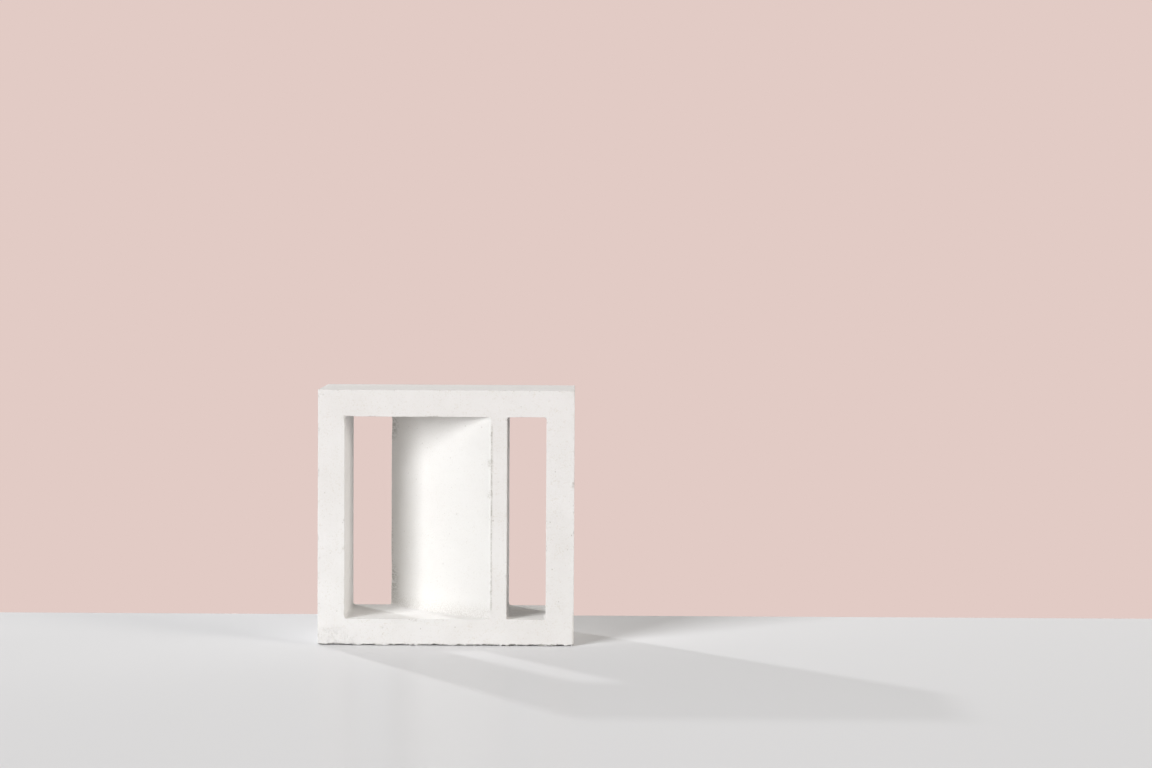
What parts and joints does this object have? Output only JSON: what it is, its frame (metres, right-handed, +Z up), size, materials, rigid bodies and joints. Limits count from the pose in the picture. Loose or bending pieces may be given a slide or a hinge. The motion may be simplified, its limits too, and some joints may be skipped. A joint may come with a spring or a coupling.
{
  "type": "concrete screen block",
  "caption": "Square open screen block cast in white concrete, with a pillar whose face sweeps back through the block beside a straight slot.",
  "frame": {"origin": "middle of the bottom face, which the block stands on", "axes": "+X along the wall, to the right as the front is seen; +Y through the wall from the front face to the back; +Z up"},
  "size_m": [0.19, 0.09, 0.19],
  "materials": {
    "white_concrete": "as cast white concrete, matt, with fine pores and crumbly arrises"
  },
  "bodies": {
    "root": {"screen_block": "white_concrete"}
  },
  "joints": []
}
